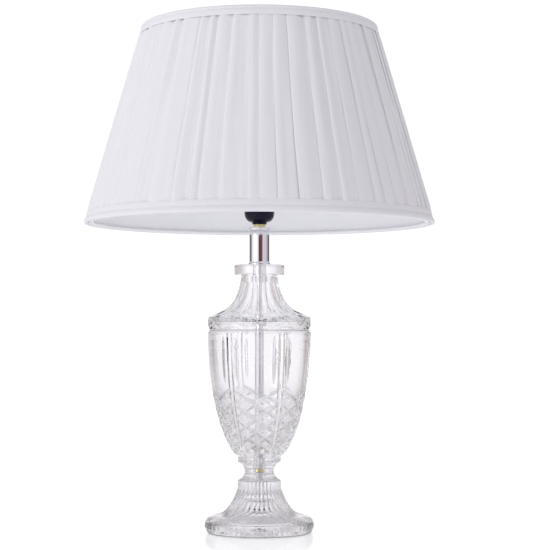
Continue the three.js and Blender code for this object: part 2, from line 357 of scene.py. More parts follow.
def plain_weave_group():
    """Threads over and under, from a place in metres along the cloth: a height, and a tone that is painted
    shade where the threads dip under, made uneven by the slubs.
    """
    inputs = {"Place": None, "Threads": 1400.0, "Slub": 0.4}
    group, source, sink = new_group("plain weave", inputs, ("Height", "Tone"))
    place = source["Place"]
    stretched = add_node(group, "Mapping", {"Vector": place, "Scale": (1.0, 7.0, 1.0)}).outputs[0]
    slub = add_node(group, "TexNoise", {"Vector": stretched, "Scale": 130.0, "Detail": 3.0}).outputs[0]
    waves = []
    for part in add_node(group, "SeparateXYZ", {"Vector": place}).outputs[:2]:
        thread = math_node(group, "MULTIPLY", part, source["Threads"])
        waves.append(math_node(group, "SINE", math_node(group, "MULTIPLY", thread, math.pi)))
    checker = math_node(group, "MULTIPLY", *waves)
    woven = math_node(group, "MULTIPLY", math_node(group, "ADD", checker, 1.0), 0.5)
    uneven = math_node(group, "MULTIPLY", slub, source["Slub"])
    # Painted shade: the tone is darker where the threads dip under their neighbours.
    faint = math_node(group, "MULTIPLY", woven, 0.25)
    feed(group, sink["Height"], math_node(group, "ADD", woven, uneven))
    feed(group, sink["Tone"], math_node(group, "ADD", faint, uneven))
    return group


def place_group(tree, name, maker, values):
    """A node of a shared shader group, which is built the first time it is asked for."""
    group = bpy.data.node_groups.get(name) or maker()
    return add_node(tree, "Group", values, node_tree=group).outputs


def base_material(name, colour, roughness, metallic=0.0, **more):
    """A new material with a Principled shader, and the tree and shader's inputs to go on with."""
    material = bpy.data.materials.new(name)
    material.use_nodes = True
    tree = material.node_tree
    inputs = tree.nodes["Principled BSDF"].inputs
    values = {"Base Color": opaque(colour), "Roughness": roughness, "Metallic": metallic}
    values.update({label.replace("_", " "): value for label, value in more.items()})
    for label, value in values.items():
        inputs[label].default_value = value
    return material, tree, inputs


def object_place(tree):
    return add_node(tree, "TexCoord").outputs["Object"]


def mottle(tree, inputs, scale, low, high, detail=4.0):
    """Uneven roughness. Gives back the mottle's outputs."""
    values = {"Place": object_place(tree), "Scale": scale, "Detail": detail, "Low": low, "High": high}
    cloud = place_group(tree, "fine mottle", fine_mottle_group, values)
    feed(tree, inputs["Roughness"], cloud["Value"])
    return cloud


def bump(tree, inputs, height, strength, distance=0.0002):
    """A faint unevenness of the surface."""
    values = {"Height": height, "Strength": strength, "Distance": distance}
    feed(tree, inputs["Normal"], add_node(tree, "Bump", values).outputs[0])


def two_tones(tree, inputs, factor, dark, light):
    """Base colour that runs from one tone to the other with a factor that changes over the surface."""
    feed(tree, inputs["Base Color"], blend(tree, factor, opaque(dark), opaque(light)))


def glass_material(name, settings):
    clear = {"Transmission_Weight": 1.0, "IOR": settings.bending}
    material, tree, inputs = base_material(name, settings.tint, 0.0, **clear)
    cloud = mottle(tree, inputs, 42.0, 0.0, settings.haze, detail=2.0)
    bump(tree, inputs, cloud["Height"], 0.012, 0.0004)
    inside = add_node(tree, "Attribute", attribute_name="inside").outputs["Fac"]
    frost = math_node(tree, "MULTIPLY", inside, settings.inside_haze)
    feed(tree, inputs["Roughness"], math_node(tree, "ADD", cloud["Value"], frost))
    return material


def clear_plastic_material(name):
    clear = {"Transmission_Weight": 0.85, "IOR": 1.42}
    material, tree, inputs = base_material(name, (0.93, 0.93, 0.94), 0.3, **clear)
    cloud = mottle(tree, inputs, 300.0, 0.22, 0.4)
    bump(tree, inputs, cloud["Height"], 0.05)
    return material


def metal_material(name, colour, low, high, scale=220.0):
    material, tree, inputs = base_material(name, colour, low, 1.0)
    cloud = mottle(tree, inputs, scale, low, high)
    bump(tree, inputs, cloud["Height"], 0.04)
    two_tones(tree, inputs, cloud["Height"], scaled(colour, 0.93), colour)
    return material


def plastic_material(name, colour, low, high, gloss=0.5):
    material, tree, inputs = base_material(name, colour, low, Specular_IOR_Level=gloss)
    cloud = mottle(tree, inputs, 400.0, low, high)
    bump(tree, inputs, cloud["Height"], 0.05)
    two_tones(tree, inputs, cloud["Height"], scaled(colour, 0.9), colour)
    return material


def threaded_material(name, colour, pitch):
    """Plated steel with a fine screw thread round the lamp's axis. Its colour is painted lighter on the
    crests and darker in the grooves, as painted highlight and painted shade.
    """
    material, tree, inputs = base_material(name, colour, 0.25, 1.0)
    x, y, z = add_node(tree, "SeparateXYZ", {"Vector": object_place(tree)}).outputs
    turns = math_node(tree, "DIVIDE", math_node(tree, "ARCTAN2", y, x), FULL_TURN)
    climb = math_node(tree, "ADD", math_node(tree, "DIVIDE", z, pitch), turns)
    thread = math_node(tree, "PINGPONG", climb, 0.5)
    bump(tree, inputs, thread, 0.5, 0.0008)
    # Painted highlight on the thread's crests and painted shade in its grooves.
    painted_thread_light = math_node(tree, "MULTIPLY", thread, 2.0)
    two_tones(tree, inputs, painted_thread_light, scaled(colour, 0.86), scaled(colour, 1.1))
    mottle(tree, inputs, 300.0, 0.26, 0.4)
    return material


def cloth_material(name, colour, threads, slub, relief, sheen=0.15):
    """Woven cloth on its own UV map, which is in metres along and up the cloth."""
    surface = {"Sheen_Weight": sheen, "Sheen_Roughness": 0.5, "Specular_IOR_Level": 0.25}
    material, tree, inputs = base_material(name, colour, 0.85, **surface)
    values = {"Place": add_node(tree, "TexCoord").outputs["UV"], "Threads": threads, "Slub": slub}
    weave = place_group(tree, "plain weave", plain_weave_group, values)
    bump(tree, inputs, weave["Height"], relief, 0.00025)
    # The weave's tone is painted shade in the dips between threads, plus the yarn's own uneven slubs.
    two_tones(tree, inputs, weave["Tone"], scaled(colour, 0.94), colour)
    mottle(tree, inputs, 90.0, 0.78, 0.95)
    return material


def finish_for(key):
    """The lamp's materials, each made once."""
    found = bpy.data.materials.get(key)
    if found:
        return found
    scene = bpy.context.scene
    shade = scene.lamp_shade
    metal = scene.lamp_metal
    makers = {
        "clear_cut_glass": (glass_material, scene.lamp_glass),
        "soft_clear_plastic": (clear_plastic_material,),
        "polished_chrome": (metal_material, metal.chrome, 0.02, 0.07),
        "polished_brass": (metal_material, metal.brass, 0.12, 0.26),
        "plated_steel": (metal_material, metal.steel, 0.3, 0.5, 380.0),
        "threaded_steel": (threaded_material, metal.steel, THREAD_PITCH),
        "glossy_black": (plastic_material, (0.008, 0.007, 0.021), 0.14, 0.26, 0.18),
        "glazed_ceramic": (plastic_material, (0.78, 0.76, 0.71), 0.12, 0.25),
        "white_wire_paint": (plastic_material, (0.93, 0.93, 0.96), 0.3, 0.45),
        "pleated_cloth": (cloth_material, shade.cover_tone, 1500.0, 0.5, 0.35),
        "lining_cloth": (cloth_material, shade.lining_tone, 3000.0, 0.3, 0.12, 0.05),
        "trim_cloth": (cloth_material, shade.trim_tone, 1500.0, 0.45, 0.35),
    }
    maker, *values = makers[key]
    return maker(key, *values)


# The slot and the finish that pieces of one kind have.
CUT_GLASS = ("cut_glass", "clear_cut_glass")
CLEAR_PLASTIC = ("clear_plastic", "soft_clear_plastic")
CHROME = ("chrome", "polished_chrome")
BRASS = ("brass", "polished_brass")
STEEL = ("zinc_steel", "plated_steel")
THREADED_STEEL = ("zinc_steel", "threaded_steel")
BLACK = ("black_plastic", "glossy_black")
CERAMIC = ("white_ceramic", "glazed_ceramic")
WHITE_WIRE = ("white_wire", "white_wire_paint")
TRIM = ("trim_fabric", "trim_cloth")


# ---------------------------------------------------------------- settings


def tone(name, description, default):
    """A colour among the settings."""
    limits = {"subtype": "COLOR", "size": 3, "min": 0.0, "max": 1.0}
    return bpy.props.FloatVectorProperty(name=name, description=description, default=default, **limits)


def amount(name, description, default, low, high, **kind):
    """A number among the settings, between two limits."""
    words = {"name": name, "description": description, **kind}
    return bpy.props.FloatProperty(default=default, min=low, max=high, **words)


def count_of(name, description, default, low, high):
    """A whole number among the settings."""
    return bpy.props.IntProperty(name=name, description=description, default=default, min=low, max=high)


FACTOR = {"subtype": "FACTOR"}
LENGTH = {"unit": "LENGTH"}
FINE_LENGTH = {"unit": "LENGTH", "precision": 5}
ANGLE = {"subtype": "ANGLE", "unit": "ROTATION"}


class LampGlass(bpy.types.PropertyGroup):
    tint: tone("Tint", "Colour of the glass", (0.995, 0.991, 1.0))
    bending: amount("Refraction", "How strongly the glass bends light", 1.5, 1.3, 1.8)
    haze: amount("Haze", "Highest roughness of the polished glass", 0.02, 0.0, 0.3, **FACTOR)
    inside_haze: amount("Inside haze", "Roughness of the inside walls low down", 0.16, 0.0, 0.5, **FACTOR)
    foot_flutes: count_of("Foot flutes", "Upright flutes round the foot", 30, 6, 60)
    foot_scallops: count_of("Foot scallops", "Small scallops round the rim of the foot", 48, 12, 96)
    lid_flutes: count_of("Lid flutes", "Broad flutes on the lid, and lens cuts on its band", 12, 6, 24)
    groove_depth: amount("Groove depth", "Depth of the diamonds' grooves", 0.0024, 0.0, 0.003, **FINE_LENGTH)
    groove_width: amount("Groove width", "Half the grooves' width", 0.0019, 0.0005, 0.005, **FINE_LENGTH)


class LampShade(bpy.types.PropertyGroup):
    pleats: count_of("Pleats", "Number of knife pleats round the cover", 60, 24, 96)
    relief: amount("Pleat relief", "How far the pleats stand out", 1.9, 0.2, 2.2, **FACTOR)
    cloth: amount("Cloth thickness", "Thickness of the pleated cloth", 0.00035, 0.0001, 0.001, **FINE_LENGTH)
    cover_tone: tone("Cover colour", "Colour of the pleated cover", (0.80, 0.785, 0.84))
    lining_tone: tone("Lining colour", "Colour of the smooth lining", (0.95, 0.95, 0.99))
    trim_tone: tone("Trim colour", "Colour of the two edge trims", (0.80, 0.785, 0.84))


class LampMetal(bpy.types.PropertyGroup):
    chrome: tone("Chrome", "Colour of the polished chrome", (0.86, 0.86, 0.89))
    brass: tone("Brass", "Colour of the brass washers and screw shell", (0.68, 0.57, 0.28))
    steel: tone("Steel", "Colour of the zinc-plated steel", (0.84, 0.84, 0.87))


class LampStage(bpy.types.PropertyGroup):
    lens: amount("Lens", "Focal length of the camera in millimetres", 104.5, 20.0, 300.0)
    distance: amount("Camera distance", "From the camera to the lamp's axis", 1.83, 0.5, 5.0, **LENGTH)
    height: amount("Camera height", "Height of the camera above the floor", 0.226, 0.0, 2.0, **LENGTH)
    pitch: amount("Camera pitch", "How far the camera looks up", math.radians(2.10), -1.5, 1.5, **ANGLE)
    yaw: amount("Camera yaw", "How far it turns to the right", math.radians(0.56), -1.5, 1.5, **ANGLE)
    light: amount("Room light", "Strength of the soft light from all round", 1.0, 0.0, 5.0)
    key: amount("Key light", "Power of the large soft light at the left front", 10.0, 0.0, 200.0)


# ---------------------------------------------------------------- glass


FOOT_BELL = [(51, 19.5)] + evenly(bend((51, 19.5), (36.1, 18), (25.3, 46.9), (24.7, 50.5), 60), 1.0)[1:]
FOOT_WAIST = sweep((24.7, 58.8), (16.9, 62.8), (16.7, 69.35), 10)
FOOT_RIM = evenly(bend((61.2, 4.5), (63.3, 6.5), (63.1, 15.5), (56.5, 17.3), 40), 0.9)
FOOT_NECK = evenly([(24.7, 50.5), (24.7, 58.8)], 1.4)
# Radius of the notch for the cord in mm, and how far back it starts in metres.
CORD_NOTCH = 5.0
NOTCH_FROM = 0.035


class LAMP_OT_foot(bpy.types.Operator):
    """Builds the fluted glass foot and the clear ring under it"""

    bl_idname = "lamp.foot"
    bl_label = "Glass foot"

    def execute(self, context):
        settings = context.scene.lamp_glass
        flutes = 360.0 / settings.foot_flutes
        scallops = 360.0 / settings.foot_scallops
        outer = [(61.2, 4.5)] + FOOT_RIM[1:] + FOOT_BELL + FOOT_NECK[1:] + FOOT_WAIST[1:]
        inner = [(7.2, 69.35), (7.2, 67.75), (5.2, 67.75), (5.2, 38, 0.6), (14, 38, 2.0)]
        inner += bend((14, 38), (20, 34), (30, 18), (48, 1.5), 14)[1:-1]
        outline = [(48, 1.5), (60, 1.5)] + outer + inner
        bm = turned(outline, 480, "foot_glass")

        def cut(angle, height, radius):
            side = share_off(angle, flutes)
            start = smooth_step(18.6, 24.0, height + 2.0 * side * side)
            hollow = start * (1.0 - side * side) * (0.55 + 0.016 * radius)
            hollow *= 1.0 - smooth_step(57.5, 62.5, height)
            notch = share_off(angle, scallops)
            low = math.exp(-(((height - 8.2) / 2.6) ** 2))
            hollow += 0.5 * low * (1.0 - notch * notch)
            high = math.exp(-(((height - 15.6) / 2.0) ** 2))
            hollow += 0.35 * high * (1.0 - notch)
            return hollow

        mark_inside(bm, outer, 10.0, 100.0, 0.7)
        carve(bm, outer, cut)
        for v in bm.verts:
            reach = CORD_NOTCH ** 2 - (v.co.x / MM) ** 2
            if v.co.y > NOTCH_FROM and reach > 0:
                v.co.z = max(v.co.z, math.sqrt(reach) * MM)
        finished("cut_foot", bm, "base", "foot_glass", *CUT_GLASS, 40)

        pad = rounded([(50, 0), (59, 0), (59, 1.2), (50, 1.2)], 0.4)
        bm = turned(pad, 120, "foot_pad_ring")
        behind = [f for f in bm.faces if f.calc_center_median().y > NOTCH_FROM]
        notch = [f for f in behind if abs(f.calc_center_median().x) < CORD_NOTCH * MM - JOIN]
        bmesh.ops.delete(bm, geom=notch, context="FACES")
        bmesh.ops.holes_fill(bm, edges=bm.edges, sides=0)
        finished("clear_foot_ring", bm, "base", "foot_pad_ring", *CLEAR_PLASTIC)
        return {"FINISHED"}


URN_SIDE = bend((28.1, 88.3), (44.2, 108.4), (58.6, 157.3), (59, 227), 400)
# Heights where the rows of diamonds begin and end at a rib's middle.
URN_RISES = (165.0, 148.0, 130.2, 114.6, 101.5, 90.5)
# Degrees between the ribs, and from the front to the first of them.
PANEL = 60.0
URN_TURN = 25.4
DIAMONDS_FROM = 89.5
# The upright cuts beside each rib: foot, length, half width and depth in mm, and degrees from the rib.
UPRIGHT_FROM = 171.0
UPRIGHT_RUN = 53.0
UPRIGHT_HALF = 2.1
UPRIGHT_DEPTH = 2.0
UPRIGHT_TURN = 8.75
RIB_EDGE_HALF = 1.25
RIB_EDGE_DEPTH = 1.7


def urn_rows():
    """The urn's outer side, with close rows where it is cut and wider ones above."""
    low = [p for p in URN_SIDE if p[1] <= 170]
    high = [p for p in URN_SIDE if p[1] >= low[-1][1]]
    return evenly(low, 1.05) + evenly(high, 3.0)[1:]


def rise_count(height):
    """Where a height is in the rows of diamonds, counted downwards from the top one."""
    for k, (a, b) in enumerate(zip(URN_RISES, URN_RISES[1:])):
        if height >= b:
            return k + (a - height) / (a - b)
    return len(URN_RISES) - 1 + (URN_RISES[-1] - height) / 10.0


class LAMP_OT_urn(bpy.types.Operator):
    """Builds the glass urn with its ribs, upright cuts and diamonds"""

    bl_idname = "lamp.urn"
    bl_label = "Glass urn"

    def execute(self, context):
        settings = context.scene.lamp_glass
        depth = settings.groove_depth / MM
        width = settings.groove_width / MM
        side = urn_rows()
        collar = evenly([(24.6, 80.3), (24.6, 86)], 0.8)
        outer = sweep((16.7, 69.65), (17.3, 75.5), (22.4, 78.6), 8) + collar + side
        inner = [(58, 229, 0.6), (53, 229, 0.8)] + bend((53, 229), (52.4, 160), (38, 116), (21, 97.5), 20)[1:]
        inner += [(16, 94.5), (5.2, 94.5)]
        bm = turned([(5.2, 69.65)] + outer + inner, 540, "urn_glass")

        def wheel_cut(gap, half_width):
            return 0.5 + 0.5 * math.cos(math.pi * gap / half_width) if gap < half_width else 0.0

        def mitre_cut(gap, half_width):
            return max(0.0, 1.0 - gap / half_width)

        def diamonds(local, height, radius):
            across = share_off(local, PANEL)
            down = rise_count(height)
            if down < across - 0.2 or height < DIAMONDS_FROM:
                return 0.0
            k = min(max(int(down), 0), len(URN_RISES) - 2)
            pitch = URN_RISES[k] - URN_RISES[k + 1]
            half_panel = math.radians(PANEL / 2) * radius
            lean = math.hypot(1.0, pitch / half_panel)
            one = abs(down - across - round(down - across)) * pitch / lean
            two = abs(down + across - max(round(down + across), 1)) * pitch / lean
            cut = mitre_cut(one, width)
            if down >= across:
                cut = max(cut, mitre_cut(two, width))
            return depth * cut * smooth_step(DIAMONDS_FROM, DIAMONDS_FROM + 3.0, height)

        def cut(angle, height, radius):
            if height < 88.3:
                return 0.7 * (1 - share_off(angle, 15.0) ** 2) * within(height, 79.5, 81, 84.5, 86.3)
            local = angle - URN_TURN
            from_rib = math.radians(abs(off_centre(local, PANEL))) * radius
            rib = 1.4 + 1.4 * radius / 57.0
            ends = within(height, 88.5, 93, 224, 227)
            hollow = RIB_EDGE_DEPTH * wheel_cut(abs(from_rib - rib), RIB_EDGE_HALF) * ends
            if from_rib > rib:
                clear = smooth_step(0.3, 1.1, from_rib - rib)
                hollow = max(hollow, diamonds(local, height, radius) * clear)
            along = (height - UPRIGHT_FROM) / UPRIGHT_RUN
            if 0.0 < along < 1.0:
                fullness = 1 - abs(2 * along - 1) ** 4
                half = UPRIGHT_HALF * fullness
                gap = abs(from_rib - math.radians(UPRIGHT_TURN) * radius)
                if gap < half:
                    hollow = max(hollow, UPRIGHT_DEPTH * fullness * (1 - (gap / half) ** 2))
            return hollow

        mark_inside(bm, outer, 1.8, 164.0)
        carve(bm, outer, cut)
        finished("cut_urn", bm, "base", "urn_glass", *CUT_GLASS, 32)

        gasket = rounded([(53.6, 229.3), (57.4, 229.3), (57.4, 230.3), (53.6, 230.3)], 0.3)
        turned_piece("clear_rim_gasket", "rim_gasket", gasket, 180, *CLEAR_PLASTIC)
        return {"FINISHED"}


class LAMP_OT_lid(bpy.types.Operator):
    """Builds the domed glass lid with its broad flutes, lens cuts and collar"""

    bl_idname = "lamp.lid"
    bl_label = "Glass lid"

    def execute(self, context):
        pitch = 360.0 / context.scene.lamp_glass.lid_flutes
        dome = evenly(bend((58.5, 244.3), (39.9, 254.8), (26.3, 253.7), (21, 293.3), 200), 1.0)
        band = evenly([(58.5, 232), (58.5, 244.3)], 0.75)
        outer = band + dome[1:]
        outline = [(52.5, 230.6, 0.5), (57.4, 230.6)] + outer
        outline += [(28.7, 293.3, 1.4), (28.7, 304.5, 1.6), (5.2, 304.5, 0.5), (5.2, 284), (14, 284)]
        outline += bend((14, 284), (19, 250), (34, 248), (52.5, 239), 24)[1:]
        bm = turned(outline, 480, "lid_glass")

        def cut(angle, height, radius):
            side = share_off(angle, pitch)
            if height > 244.4:
                start = smooth_step(246.3, 249.5, height - 1.6 * side * side)
                end = 1.0 - smooth_step(290.5, 293.0, height)
                deep = 0.9 + 0.034 * (radius - 20.0)
                return start * end * deep * (1.0 - side * side)
            half = 5.0 * (1.0 - share_off(angle, pitch, pitch / 2) ** 2.2)
            gap = abs(height - 238.6)
            hollow = 0.0
            if half > 0.2 and gap < half:
                hollow = 1.5 * (half / 5.0) ** 0.7 * (1.0 - (gap / half) ** 2)
            under = 232.0 + 2.2 * (1.0 - side * side)
            if height < under:
                hollow = max(hollow, 0.5 * (under - height))
            return hollow

        mark_inside(bm, dome, 3.0, 290.0, 0.4)
        carve(bm, outer, cut)
        finished("cut_lid", bm, "base", "lid_glass", *CUT_GLASS, 32)
        return {"FINISHED"}


# ---------------------------------------------------------------- metal


NUT_HALF = 6.5


def hex_nut(name, node, low, high, slot_name, finish):
    """A six-sided nut with chamfered corners and a chamfered bore, spun and then flattened."""
    tip = NUT_HALF / math.cos(math.radians(30))
    outline = [(ROD_BORE + 0.5, low), (tip * 0.93, low), (tip, low + 1.1), (tip, high - 1.1)]
    outline += [(tip * 0.93, high), (ROD_BORE + 0.5, high), (ROD_BORE, high - 0.5), (ROD_BORE, low + 0.5)]
    bm = turned(outline, 96, node)
    for v in bm.verts:
        radius = math.hypot(v.co.x, v.co.y) / MM
        flat = NUT_HALF / math.cos(math.radians(off_centre(turn_of(v.co), 60.0, 30.0)))
        if radius > flat:
            v.co.x *= flat / radius
            v.co.y *= flat / radius
    finished(name, bm, "base", node, slot_name, finish, 25)


def washer(name, node, outer, low, high, slot_name, finish):
    corners = [(ROD_BORE, low), (outer, low), (outer, high), (ROD_BORE, high)]
    outline = rounded(corners, min((high - low) * 0.3, 0.4))
    turned_piece(name, node, outline, 96, slot_name, finish)


class LAMP_OT_rod(bpy.types.Operator):
    """Builds the threaded rod, its chrome sleeve, its end bush, the washers and the nuts"""

    bl_idname = "lamp.rod"
    bl_label = "Rod and fastenings"

    def execute(self, context):
        rod = [(2.5, 26), (4.0, 26, 0.6), (4.0, 358, 0.6), (2.5, 358)]
        turned_piece("threaded_rod", "hollow_rod", rod, 72, *THREADED_STEEL)
        bush = [(2.0, 23.5, 0.5), (5.2, 23.5, 0.8), (5.2, 25.7), (2.0, 25.7)]
        turned_piece("end_bush", "rod_end_bush", bush, 72, *BLACK)
        sleeve = [(4.3, 94.8), (4.9, 94.8, 0.2), (4.9, 304.2, 0.2), (4.3, 304.2)]
        turned_piece("chrome_sleeve", "rod_sleeve", sleeve, 96, *CHROME)
        waist = [(4.3, 68.05), (6.9, 68.05, 0.4), (6.9, 69.35, 0.4), (5.0, 69.45)]
        waist += [(5.0, 74.5, 0.2), (4.3, 74.5)]
        turned_piece("brass_waist_washer", "waist_washer", waist, 96, *BRASS)
        washer("steel_foot_washer", "foot_washer", 11.0, 36.1, 37.7, *STEEL)
        washer("brass_neck_washer_low", "neck_lower_washer", 10.2, 304.8, 306.3, *BRASS)
        washer("brass_neck_washer_high", "neck_upper_washer", 10.2, 346.0, 347.5, *BRASS)
        hex_nut("steel_foot_nut", "foot_nut", 29.3, 35.8, *STEEL)
        hex_nut("brass_neck_nut", "neck_nut", 347.8, 350.9, *BRASS)
        return {"FINISHED"}


class LAMP_OT_neck(bpy.types.Operator):
    """Builds the chrome neck tube with its two flared ends"""

    bl_idname = "lamp.neck"
    bl_label = "Chrome neck"

    def execute(self, context):
        flare = sweep((12.4, 304.8), (12.7, 306.6), (11.5, 308.0), 12)
        outline = [(10.5, 304.8), (*flare[0], 0.3)] + flare[1:]
        outline += sweep((11.5, 344.6), (12.7, 345.8), (12.2, 347.5), 12) + [(10.5, 347.5)]
        turned_piece("chrome_neck", "neck_tube", outline, 144, *CHROME, 50)
        return {"FINISHED"}


class LAMP_OT_lampholder(bpy.types.Operator):
    """Builds the black cap and threaded shell, the ceramic insert, the contacts and terminals"""

    bl_idname = "lamp.lampholder"
    bl_label = "Lampholder"

    def execute(self, context):
        cap = [(8.3, 351.2), (8.4, 353.2)]
        cap += bend((8.8, 353.4), (13.6, 354.0), (16.7, 357.4), (17.2, 364.0), 20)
        cap += [(17.6, 374, 0.5), (15.4, 374)]
        cap += bend((14.9, 366), (14.4, 359.5), (10.5, 355.4), (6.1, 353.0), 16)
        cap += [(4.3, 353.0), (4.3, 351.2, 0.3)]
        turned_piece("black_cap", "holder_cap", cap, 120, *BLACK, 45)

        shell_side = evenly([(19.6, 374.3), (19.6, 411)], 0.5)
        shell = [(17.4, 374.3)] + shell_side + [(17.4, 411)]
        bm = turned(shell, 120, "holder_shell")

        def thread(angle, height, radius):
            ends = within(height, 375.5, 377.5, 408.0, 410.0)
            turn = (height / 2.5 - angle / 360.0) % 1.0
            return 0.55 * (1.0 - ends) + 0.9 * ends * abs(2 * turn - 1)

        carve(bm, shell_side, thread)
        finished("black_threaded_shell", bm, "base", "holder_shell", *BLACK, 30)

        insert = [(4.6, 363), (11, 363, 0.8), (11, 374.3), (17.1, 374.3), (17.1, 407, 0.7)]
        insert += [(15.1, 407, 0.7), (15.1, 378), (4.6, 378)]
        turned_piece("ceramic_insert", "holder_insert", insert, 96, *CERAMIC, 40)

        wave = []
        steps = 60
        for k in range(steps + 1):
            height = 381.0 + 21.6 * k / steps
            wave.append((13.2 + 0.5 * math.sin(k / steps * 4 * FULL_TURN), height))
        outline = [(r + 0.25, h) for r, h in wave] + [(r - 0.25, h) for r, h in reversed(wave)]
        turned_piece("brass_screw_shell", "screw_shell", outline, 96, *BRASS, 60)
        self.contact()
        for side in ("left", "right"):
            self.terminal(side)
        return {"FINISHED"}

    def terminal(self, side):
        """A block with eased edges and a round screw head on its front."""
        node = "terminal_" + side
        low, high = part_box(node)
        size = high - low
        middle = (low + high) / 2
        bm = bmesh.new()
        block = bmesh.ops.create_cube(bm, size=1.0)["verts"]
        bmesh.ops.scale(bm, verts=block, vec=size)
        bmesh.ops.translate(bm, verts=block, vec=middle)
        edges = {e for v in block for e in v.link_edges}
        eased(bm, list(edges), min(size) * 0.12, 3, "EDGES")
        place = Matrix.Translation((middle.x, low.y - 0.2 * MM, middle.z))
        bmesh.ops.create_cone(
            bm,
            cap_ends=True,
            segments=24,
            radius1=1.3 * MM,
            radius2=1.15 * MM,
            depth=0.5 * MM,
            matrix=place @ Matrix.Rotation(math.radians(90), 4, "X"),
        )
        finished("brass_" + node, bm, "base", node, *BRASS, 30)

    def contact(self):
        """A springy strip that rises from its fixed end to the lamp's centre and turns down at the tip."""
        low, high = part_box("centre_contact")
        bm = bmesh.new()
        width = high.x - low.x
        thick = 0.5 * MM
        run = high.y - low.y
        rise = high.z - low.z - thick
        bmesh.ops.create_grid(bm, x_segments=6, y_segments=24, size=0.5)
        for v in bm.verts:
            along = v.co.y + 0.5
            lift = smooth_step(0.12, 0.82, 1.0 - along) - 0.18 * smooth_step(0.85, 1.0, 1.0 - along)
            x = v.co.x * width * (1.0 - 0.25 * smooth_step(0.7, 1.0, 1.0 - along))
            v.co = Vector((x, low.y + run * along, low.z + rise * lift * 0.98))
        bmesh.ops.recalc_face_normals(bm, faces=bm.faces)
        bmesh.ops.solidify(bm, geom=bm.faces[:], thickness=-thick * 0.9)
        lift = low.z - min(v.co.z for v in bm.verts)
        bmesh.ops.translate(bm, verts=bm.verts, vec=(0, 0, max(lift, 0.0)))
        finished("spring_contact", bm, "contact_spring", "centre_contact", *BRASS, 40)


class LAMP_OT_shade_rings(bpy.types.Operator):
    """Builds the two knurled black rings that clamp the shade"""

    bl_idname = "lamp.shade_rings"
    bl_label = "Shade rings"

    def execute(self, context):
        bodies = {"lower_shade_ring": "seat_ring", "upper_shade_ring": "clamp_ring"}
        for node, body in bodies.items():
            low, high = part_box(node)
            base = low.z / MM
            top = high.z / MM
            rim = evenly([(28.0, base + 0.9), (28.0, top - 0.9)], 0.6)
            outline = [(19.9, base, 0.5), (27.1, base)] + rim + [(27.1, top), (19.9, top, 0.5)]
            bm = turned(outline, 432, node)

            def knurl(angle, height, radius):
                ends = within(height, base + 0.8, base + 1.6, top - 1.6, top - 0.8)
                return 0.55 * ends * share_off(angle, 5.0)

            carve(bm, rim, knurl)
            finished("black_" + node, bm, body, node, *BLACK, 25)
        return {"FINISHED"}


# ---------------------------------------------------------------- shade


SHADE_LOW = 351.0
SHADE_HIGH = 578.0
# Length up the shade's slanted side against its height.
SLANT = 1.041


def shade_radius(height):
    """Outer radius of the shade's straight side at a height, both in mm."""
    return 200.0 - 66.0 * (height - SHADE_LOW) / (SHADE_HIGH - SHADE_LOW)


WIRE = 1.5


def wire_ring(name, node, radius, height):
    """A round wire ring, welded where its ends meet."""
    outline = []
    for k in range(12):
        turn = k / 12 * FULL_TURN
        outline.append((radius + WIRE * math.cos(turn), height + WIRE * math.sin(turn)))
    bm = turned(outline, 240, node)
    for v in bm.verts:
        near = abs(off_centre(turn_of(v.co), 360.0, 150.0))
        swell = 1.0 + 0.12 * math.exp(-((near / 0.5) ** 2))
        centre = Vector((v.co.x, v.co.y, 0)).normalized() * radius * MM
        centre.z = height * MM
        v.co = centre + (v.co - centre) * swell
    finished(name, bm, "shade", node, *WHITE_WIRE, 60)


class LAMP_OT_shade_frame(bpy.types.Operator):
    """Builds the shade's wire rings, its three arms and the fitter ring in the middle"""

    bl_idname = "lamp.shade_frame"
    bl_label = "Shade frame"

    def execute(self, context):
        fitter = rounded([(20.8, 383.8), (31, 383.8), (31, 385.3), (20.8, 385.3)], 0.35)
        bm = turned(fitter, 144, "fitter_ring")
        finished("shade_fitter_ring", bm, "shade", "fitter_ring", *WHITE_WIRE)
        wire_ring("shade_bottom_wire", "bottom_wire_ring", 191.16, 353.2)
        wire_ring("shade_top_wire", "top_wire_ring", 126.4, 575.8)
        for number, angle in ((1, 90.0), (2, 210.0), (3, 330.0)):
            self.arm(number, math.radians(angle))
        return {"FINISHED"}

    def arm(self, number, angle):
        """A wire that rises from the bottom ring and runs in to the fitter ring."""
        start = Vector((189.4, 353.2)) * MM
        end = Vector((31.3, 384.55)) * MM
        bm = bmesh.new()
        circle = bmesh.ops.create_circle(bm, segments=14, radius=WIRE * MM, cap_ends=True)["verts"]
        tilt = math.atan2(end.y - start.y, start.x - end.x)
        upright = Matrix.Rotation(math.radians(90) + tilt, 3, "Y")
        bmesh.ops.rotate(bm, verts=circle, cent=(0, 0, 0), matrix=upright)
        bmesh.ops.translate(bm, verts=circle, vec=(start.x, 0, start.y))
        face = bm.faces[:]
        pieces = 12
        step = (end - start) / pieces
        for k in range(pieces):
            made = bmesh.ops.extrude_face_region(bm, geom=face)["geom"]
            if k:
                bmesh.ops.delete(bm, geom=face, context="FACES_ONLY")
            face = [g for g in made if isinstance(g, bmesh.types.BMFace)]
            moved = [g for g in made if isinstance(g, bmesh.types.BMVert)]
            bmesh.ops.translate(bm, verts=moved, vec=(step.x, 0, step.y))
        bmesh.ops.rotate(bm, verts=bm.verts, cent=(0, 0, 0), matrix=Matrix.Rotation(angle, 3, "Z"))
        finished("shade_arm_%d" % number, bm, "shade", "frame_arm_%d" % number, *WHITE_WIRE, 60)


def cloth_map(bm, around):
    """Gives cloth a UV map in metres: along its cut width, and up its height."""
    cut = bm.verts.layers.float["cut"]
    rise = bm.verts.layers.float["rise"]
    layer = bm.loops.layers.uv.new("cloth")
    for face in bm.faces:
        top = max(v[cut] for v in face.verts)
        for loop in face.loops:
            along = loop.vert[cut]
            if top - along > around / 2:
                along += around
            loop[layer].uv = (along, loop.vert[rise])


